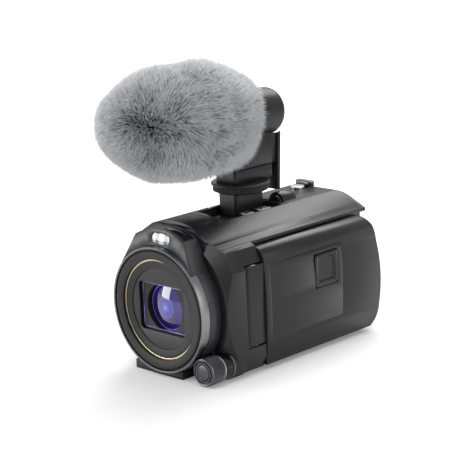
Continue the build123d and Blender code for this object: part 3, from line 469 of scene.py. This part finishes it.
# This glass glows by its emission strength: a painted glow, not a lamp.
lens_glass_painted_glow = finish(
    "coated lens glass painted glow",
    {"Emission Strength": 0.35, "Coat Weight": 1.0, "Coat Roughness": 0.02, "IOR": 1.6},
    glass_painted_light,
)
glass_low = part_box("front_lens")[0]
glass_r = 11.35
dome_rise = 2.6
turn_t = np.linspace(0, 2 * pi, 129)[:-1]
ring_r = np.linspace(1e-4, glass_r, 40)
sphere = (glass_r**2 + dome_rise**2) / (2 * dome_rise)
depth = glass_low.y / MM + sphere - np.sqrt(sphere**2 - ring_r**2)
dome = np.stack(
    [
        ring_r[:, None] * np.cos(turn_t)[None],
        np.repeat(depth[:, None], len(turn_t), 1),
        ring_r[:, None] * np.sin(turn_t)[None],
    ],
    axis=-1,
)
skirt = dome[-1:] + np.array([0.0, 2.2, 0.0])
centre_back = skirt * np.array([0.0, 1.0, 0.0]) + np.array([1e-4, 0, 0])
dome = np.concatenate([dome, skirt, centre_back]) * MM + lens_centre
lens_piece = smooth(sheet_mesh("front_lens_dome", dome, False, True, "root", lens_glass_painted_glow))
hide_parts("front_lens")
# A thin violet line round the lens mask that glows by emission: a painted reflection, not a lamp.
violet_edge_glow = finish(
    "violet edge painted glow", {"Emission Strength": 0.55, "Roughness": 0.2},
    lambda place: {k: place.noise(60.0).band(0.3, 0.7).mix((0.05, 0.03, 0.16, 1), (0.42, 0.36, 0.85, 1))
                   for k in ("Base Color", "Emission Color")},
)
corner_t = np.linspace(0, 2 * pi, 96, endpoint=False)


def rounded_square(half_wide, half_high, corner):
    """A closed outline of a rectangle with corner arcs, as points (across, up)."""
    quarter = np.floor(corner_t / (pi / 2))
    sign_x = np.where((quarter == 0) | (quarter == 3), 1, -1)
    sign_y = np.where(quarter < 2, 1, -1)
    return np.stack(
        [sign_x * (half_wide - corner) + corner * np.cos(corner_t),
         sign_y * (half_high - corner) + corner * np.sin(corner_t)], axis=-1
    )


def frame_loop(name, y, half, width, thick, body, material):
    """A flat rounded frame in a plane across the lens: half is (across, up) of its outer edge, in mm."""
    outer = rounded_square(*half, 1.6)
    inner = rounded_square(half[0] - width, half[1] - width, 1.4)
    loops = [(outer, y + thick), (outer, y), (inner, y), (inner, y + thick)]
    points = np.stack([np.stack([p[:, 0], np.full(len(p), depth), p[:, 1]], axis=-1) for p, depth in loops])
    return sheet_mesh(name, points * MM + lens_centre, True, True, body, material)


mask_glow_line = frame_loop("mask_edge_painted_glow", front_of("gap_ring") - 0.12, (13.9, 10.7), 0.3, 0.1, "root", violet_edge_glow)
print("front lens", len(lens_piece.data.polygons), "faces")

# %% [markdown]
# ## Lamp window and projector window
# The lamp is a clear oval over a chrome reflector whose bright cells are a painted reflection that also
# glows, brighter towards the top as painted light. The projector looks out of the panel
# through a dark square of glass in a slightly raised frame with rounded corners.


# %% Windows
def lamp_cells_painted_glint(place):
    """Painted reflection: bright cells side by side, with dark lines between them, brighter towards the top.
    """
    x, y, z = place.parts()
    cell = place.math("SINE", x * 1150.0).band(-0.5, 0.3)
    # Painted light: the upper part of the cells is brighter.
    upper = (z - 0.0640).band(-0.0012, 0.0006)
    bright = cell * (upper * 0.5 + 0.5)
    colour = bright.mix((0.10, 0.10, 0.11, 1), (0.95, 0.95, 0.97, 1))
    return {"Base Color": colour, "Emission Color": colour, "Roughness": place.noise(400.0) * 0.1 + 0.1}


# The cells glow by this emission: a painted glow, not a lit lamp.
lamp_painted_glow_finish = finish(
    "lamp cells painted glow", {"Emission Strength": 0.25, "Coat Weight": 1.0, "Coat Roughness": 0.03}, lamp_cells_painted_glint
)
dress("lamp_window", lamp_painted_glow_finish)

window_low, window_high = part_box("projector_window")
window_middle = np.array([(window_low.y + window_high.y) / 2, (window_low.z + window_high.z) / 2]) / MM


def panel_frame(name, loops, material):
    """Loops of (half width, half height, corner, x), in mm, joined one to the next on the panel's face."""
    points = []
    for half_wide, half_high, corner, x in loops:
        outline = rounded_square(half_wide, half_high, corner) + window_middle
        points.append(np.column_stack([np.full(len(outline), x), outline]))
    piece = sheet_mesh(name, np.stack(points) * MM, False, True, "lcd_panel", material)
    return smooth(piece, 40)


face_x = window_high.x / MM
frame_piece = panel_frame(
    "projector_frame",
    [(0.01, 0.01, 0.005, face_x - 2.5), (7.9, 7.9, 1.8, face_x - 2.5), (7.9, 7.9, 1.8, face_x - 0.1),
     (7.6, 7.6, 1.6, face_x + 0.05), (6.0, 5.9, 1.0, face_x - 0.05), (5.7, 5.6, 0.9, face_x - 0.35),
     (5.2, 5.1, 0.8, face_x - 0.9), (0.01, 0.01, 0.005, face_x - 0.9)],
    black_gloss,
)
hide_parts("projector_window")
print("windows made")

# %% [markdown]
# ## The fur wind muff
# Long synthetic fur breaks up the wind. Here it is real geometry: tens of thousands of thin tapered hairs
# with three sides, rooted on an egg-shaped sock. Each leans by a slow swirl that its neighbours share,
# and its tip is drawn towards the tip of its tuft, which makes the locks and the dark gaps between them.

# %% Fur
muff_low, muff_high = (np.array(v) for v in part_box("wind_muff"))
tilt = radians(4.0)
muff_back = np.array([0.0, cos(tilt), -sin(tilt)])
muff_up = np.array([0.0, sin(tilt), cos(tilt)])
muff_side = np.array([1.0, 0.0, 0.0])
muff_middle = np.array(
    [(muff_low[0] + muff_high[0]) / 2, muff_low[1] + 45 * MM * cos(tilt), (muff_low[2] + muff_high[2]) / 2]
)
half_long, half_wide, throat = 38.5, 19.0, 11.75
notch_front, notch_half = 25.5, 7.4
muff_frame = np.stack([muff_side, muff_back, muff_up])
seeded = np.random.default_rng(7)


def on_sock(along, turn):
    """Points of the sock, an ellipse turned about its long axis, and their normals."""
    radius = half_wide * np.sqrt(np.clip(1 - (along / half_long) ** 2, 0, 1))
    place = np.stack([radius * np.sin(turn), along, radius * np.cos(turn)], axis=-1)
    normal = place / np.array([half_wide**2, half_long**2, half_wide**2])
    return place, normal / np.linalg.norm(normal, axis=-1, keepdims=True)


def swirl(place, seed):
    """A smooth vector field: six sine waves in random directions for each component."""
    waves = np.random.default_rng(seed)
    direction = waves.normal(size=(3, 6, 3)) * 0.16
    phase = waves.uniform(0, 2 * pi, (3, 6))
    return np.stack([np.sin(place @ direction[k].T + phase[k]).sum(-1) / 3 for k in range(3)], axis=-1)


def hairs(count):
    """Roots, direction, length and tuft target of every hair, in mm in the muff's own frame."""
    along = seeded.uniform(-half_long, half_long, count * 2)
    turn = seeded.uniform(0, 2 * pi, count * 2)
    root, normal = on_sock(along, turn)
    in_throat = (along > 0) & (np.hypot(root[:, 0], root[:, 2]) < throat)
    by_plate = (along > notch_front - 0.5) & (root[:, 2] < 0) & (np.abs(root[:, 0]) < notch_half)
    keep = np.flatnonzero(~(in_throat | by_plate))[:count]
    root, normal, along = root[keep], normal[keep], along[keep]
    lean = swirl(root, 3) * 0.26 + swirl(root * 2.6, 5) * 0.2 + seeded.normal(0, 0.16, root.shape)
    lean -= normal * np.sum(lean * normal, axis=-1, keepdims=True)
    length = 9.3 + 0.4 * np.sin(root[:, 0] * 0.35 + root[:, 1] * 0.21) + seeded.normal(0, 0.9, len(root))
    length = length + np.clip(along - 22, 0, 20) * 0.12
    direction = normal + lean
    direction /= np.linalg.norm(direction, axis=-1, keepdims=True)
    centres = root[seeded.choice(len(root), 1500, replace=False)]
    centre_n = centres / np.array([half_wide**2, half_long**2, half_wide**2])
    centre_n /= np.linalg.norm(centre_n, axis=-1, keepdims=True)
    centre_tip = centres + (centre_n + swirl(centres, 3) * 0.3) * 9.5
    nearest = np.concatenate(
        [np.argmin(((part[:, None] - centres[None]) ** 2).sum(-1), 1) for part in np.array_split(root, 60)]
    )
    return root, direction, length, centre_tip[nearest]


def hair_mesh(name, root, direction, length, tuft, width=0.17):
    """Tapered hairs with three sides: rings at 0, 0.35 and 0.7 of the length and a point at the tip."""
    count = len(root)
    steps = np.array([0.0, 0.35, 0.7, 1.0])
    straight = root[:, None] + direction[:, None] * length[:, None, None] * steps[None, :, None]
    pull = (tuft - straight[:, -1])[:, None] * (0.3 * steps**2)[None, :, None]
    sag = np.array([0.0, 0.0, -0.9]) * (steps**2)[None, :, None]
    spine = straight + pull + sag
    first = np.cross(direction, np.array([0.3, 0.2, 1.0]))
    first /= np.linalg.norm(first, axis=-1, keepdims=True)
    second = np.cross(direction, first)
    ring_turn = np.arange(3) * 2 * pi / 3
    across_first = np.cos(ring_turn)[None, :, None] * first[:, None]
    ring = across_first + np.sin(ring_turn)[None, :, None] * second[:, None]
    taper = np.array([1.0, 0.85, 0.55]) * width
    body = spine[:, :3, None] + ring[:, None] * taper[None, :, None, None]
    points = np.concatenate([body.reshape(count, 9, 3), spine[:, 3:4]], axis=1)
    local = []
    for ring_start in (0, 3):
        for k in range(3):
            low, beside = ring_start + k, ring_start + (k + 1) % 3
            local.append([low, beside, beside + 3, low + 3])
    local = np.array(local)
    tips = np.array([[6 + k, 6 + (k + 1) % 3, 9] for k in range(3)])
    foot = np.array([[2, 1, 0]])
    start = (np.arange(count) * 10)[:, None, None]
    quads = (local[None] + start).reshape(-1, 4)
    triangles = (np.concatenate([tips, foot])[None] + start).reshape(-1, 3)
    place = (points.reshape(-1, 3) @ muff_frame) * MM + muff_middle
    mesh = bpy.data.meshes.new(name)
    mesh.vertices.add(len(place))
    mesh.vertices.foreach_set("co", place.astype(np.float32).ravel())
    corners = np.concatenate([quads.ravel(), triangles.ravel()])
    mesh.loops.add(len(corners))
    mesh.loops.foreach_set("vertex_index", corners.astype(np.int32))
    mesh.polygons.add(len(quads) + len(triangles))
    starts = np.concatenate([np.arange(len(quads)) * 4, len(quads) * 4 + np.arange(len(triangles)) * 3])
    mesh.polygons.foreach_set("loop_start", starts.astype(np.int32))
    mesh.update(calc_edges=True)
    mesh.polygons.foreach_set("use_smooth", [True] * len(mesh.polygons))
    rise = np.tile(np.repeat(steps, [3, 3, 3, 1]), count)
    tone = np.repeat(np.random.default_rng(11).uniform(0, 1, count), 10)
    for key, values in (("rise", rise), ("tone", tone)):
        mesh.attributes.new(key, "FLOAT", "POINT").data.foreach_set("value", values.astype(np.float32))
    piece = bpy.data.objects.new(name, mesh)
    bpy.context.scene.collection.objects.link(piece)
    return piece


def fur_colour_and_root_shade(place):
    """Pale at the tip and darker towards the root, painted shade of the hairs on each other; every hair has
    its own tone, and locks differ a little.
    """
    rise = place.node("ShaderNodeAttribute", {"attribute_name": "rise"}, output=2)
    tone = place.node("ShaderNodeAttribute", {"attribute_name": "tone"}, output=2)
    lock = place.noise(160.0, 2.0)
    # Painted shade: the rise along each hair darkens the colour towards its root.
    light = (rise.band(0.05, 1.0) * 0.75 + tone * 0.22 + lock * 0.25).band(0.05, 1.15)
    colour = light.mix((0.13, 0.138, 0.145, 1), (0.74, 0.765, 0.785, 1))
    return {"Base Color": colour, "Roughness": tone * 0.2 + 0.45}


fur_finish = finish("grey fur", {"Sheen Weight": 0.3, "Sheen Roughness": 0.5}, fur_colour_and_root_shade)
hair_count, batches = 60000, 5
hair_root, hair_direction, hair_length, hair_tuft = hairs(hair_count)
for number, chosen in enumerate(np.array_split(np.arange(len(hair_root)), batches), 1):
    batch = (part[chosen] for part in (hair_root, hair_direction, hair_length, hair_tuft))
    fur_piece = hair_mesh(f"muff_fur_{number}", *batch)
    fur_piece.data.materials.append(fur_finish)
    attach(fur_piece, "muff")

throat_angle = np.arcsin(np.sqrt(1 - (throat / half_wide) ** 2))
sock_along = half_long * np.sin(np.linspace(-pi / 2 + 1e-3, throat_angle, 70))
sock_turn = np.linspace(0, 2 * pi, 120, endpoint=False)
sock, _ = on_sock(sock_along[:, None] + 0 * sock_turn, sock_turn[None] + 0 * sock_along[:, None])
notch = (sock[..., 1] > notch_front) & (sock[..., 2] < 0) & (np.abs(sock[..., 0]) < notch_half)
around = np.hypot(sock[..., 0], sock[..., 2])
shrink = np.where(notch, throat / np.maximum(around, throat), 1.0)
sock[..., 0] *= shrink
sock[..., 2] *= shrink
sock_rear = sock[-1:] + np.array([0.0, 2.0, 0.0])
sock_points = np.concatenate([sock, sock_rear]) @ muff_frame * MM + muff_middle
sock_finish = finish(
    "knitted sock", {"Roughness": 0.85},
    lambda place: {"Base Color": place.noise(1200.0).mix((0.05, 0.055, 0.06, 1), (0.13, 0.14, 0.145, 1)),
                   "Normal": place.noise(1500.0).bump(0.0002)},
)
sock_piece = smooth(sheet_mesh("muff_sock", sock_points, False, True, "muff", sock_finish), 60)
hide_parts("wind_muff")
print("fur:", len(hair_root), "hairs in", batches, "pieces")

# %% [markdown]
# ## Hand strap
# The strap is a webbing band over a softer pad that faces the fingers. Both are one section carried
# along an arc. The pad is crowned across its height and pulls in along its sewn edges.


# %% Strap
def webbing(place):
    """Twill: two crossed sine patterns, along the strap and up it, drive the colour and the bump."""
    x, y, z = place.parts()
    warp = place.math("SINE", (y + z) * 5200.0)
    weft = place.math("SINE", (y - z) * 5200.0)
    weave = (warp * weft).band(-0.6, 0.8)
    wear = place.noise(90.0, 4.0)
    colour = (weave * 0.6 + wear * 0.4).mix((0.006, 0.006, 0.007, 1), (0.035, 0.035, 0.038, 1))
    return {"Base Color": colour, "Roughness": wear * 0.15 + 0.65, "Normal": weave.bump(0.00012)}


strap_finish = finish("woven strap", {"Sheen Weight": 0.2}, webbing)
strap_low, strap_high = (np.array(v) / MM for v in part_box("grip_strap"))
strap_length = strap_high[1] - strap_low[1]
strap_mid_y, strap_mid_z = (strap_high[1] + strap_low[1]) / 2, (strap_high[2] + strap_low[2]) / 2
strap_half = (strap_high[2] - strap_low[2]) / 2
end_inner, bow_inner = -33.0, -42.5


def strap_piece(name, offset_in, thick, trim, crown, inset, material):
    """A band along the arc through both ends and the bow; its section is a crowned strip with round edges.

    The section is thick at mid height and 1 - crown of that at the edges, with a superellipse outline.
    """
    rise = end_inner - bow_inner
    half_chord = strap_length / 2
    radius = (half_chord**2 + rise**2) / (2 * rise)
    reach = np.arcsin((half_chord - trim) / radius)
    angle = np.linspace(-reach, reach, 90)
    section_t = np.linspace(0, 2 * pi, 56, endpoint=False)
    high = np.sign(np.sin(section_t)) * np.abs(np.sin(section_t)) ** 0.45 * (strap_half - inset)
    fat = np.sign(np.cos(section_t)) * np.abs(np.cos(section_t)) ** 0.45 * thick / 2
    fat = fat * (1 - crown * (high / strap_half) ** 2)
    taper = np.clip((reach - np.abs(angle)) / (0.06 * reach), 0.02, 1) ** 0.5
    along = radius - offset_in + thick / 2 + fat[None, :] * taper[:, None]
    centre_x = bow_inner + radius
    points = np.stack(
        [centre_x - along * np.cos(angle)[:, None],
         strap_mid_y + along * np.sin(angle)[:, None],
         np.broadcast_to(high, (len(angle), len(high))) + strap_mid_z], axis=-1
    )
    first, last = points[:1].mean(1, keepdims=True), points[-1:].mean(1, keepdims=True)
    ends = [np.repeat(cap, len(high), 1) for cap in (first, last)]
    points = np.concatenate([ends[0], points, ends[1]])
    piece = sheet_mesh(name, points * MM, False, True, "root", material)
    return smooth(piece, 50)


strap_band = strap_piece("strap_webbing", 0.0, 2.1, 0.0, 0.0, 0.3, strap_finish)
strap_pad = strap_piece("strap_pad", 3.0, 2.8, 7.0, 0.45, 0.8, strap_finish)
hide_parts("grip_strap")
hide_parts("grip_strap")
print("strap faces", len(strap_band.data.polygons) + len(strap_pad.data.polygons))

# %% [markdown]
# ## Studio
# A white floor that runs far past the view, a pale world and four softboxes. The large one above and
# behind draws the bright line along every upper edge, the left one lights the lens, one stands over the
# front, and a weak one fills from the right.


# %% Floor, world and lamps
def plane_mesh(name, size, z):
    """A square of this half size at height z."""
    mesh = bpy.data.meshes.new(name)
    corners = [(-size, -size, z), (size, -size, z), (size, size, z), (-size, size, z)]
    mesh.from_pydata(corners, [], [(0, 1, 2, 3)])
    piece = bpy.data.objects.new(name, mesh)
    bpy.context.scene.collection.objects.link(piece)
    return piece


floor = plane_mesh("floor", 6.0, 0.0)


def floor_white(place):
    """White to the eye far from the object, by an emission that only camera rays see."""
    seen = place.node("ShaderNodeLightPath")
    away = place.node("ShaderNodeVectorMath", {"operation": "LENGTH"}, {0: place}, "Value").band(0.12, 0.75)
    glow = seen * (away * 0.75 + 0.16)
    return {"Emission Color": glow.mix((0, 0, 0, 1), (1, 1, 1, 1))}


floor_finish = finish(
    "white floor",
    {"Base Color": (0.86, 0.86, 0.86), "Roughness": 0.75, "Emission Strength": 1.0},
    floor_white,
)
floor.data.materials.append(floor_finish)

world = bpy.data.worlds.new("studio")
bpy.context.scene.world = world
world.use_nodes = True
background = next(n for n in world.node_tree.nodes if n.type == "BACKGROUND")
path = world.node_tree.nodes.new("ShaderNodeLightPath")
sees = Wire(world.node_tree, path.outputs["Is Camera Ray"])
level = sees * 0.45 + 0.55
world.node_tree.links.new(level.socket, background.inputs["Strength"])
background.inputs["Color"].default_value = (1, 1, 1, 1)


def softbox(name, place, aim, size, power):
    """A square lamp at place, in metres, that faces aim."""
    lamp = bpy.data.lights.new(name, "AREA")
    lamp.shape, lamp.size, lamp.energy = "SQUARE", size, power
    piece = bpy.data.objects.new(name, lamp)
    piece.location = place
    piece.rotation_euler = (Vector(place) - Vector(aim)).to_track_quat("Z", "Y").to_euler()
    bpy.context.scene.collection.objects.link(piece)
    return piece


middle = (0.0, 0.0, 0.06)
softbox("top back", (-0.25, 0.55, 0.85), middle, 0.75, 9.0)
softbox("left front", (-0.72, -0.76, 0.16), middle, 0.4, 3.0)
softbox("over front", (0.15, -0.7, 0.9), middle, 0.5, 3.0)
softbox("right fill", (0.9, 0.1, 0.35), middle, 0.6, 1.5)
print("studio ready")
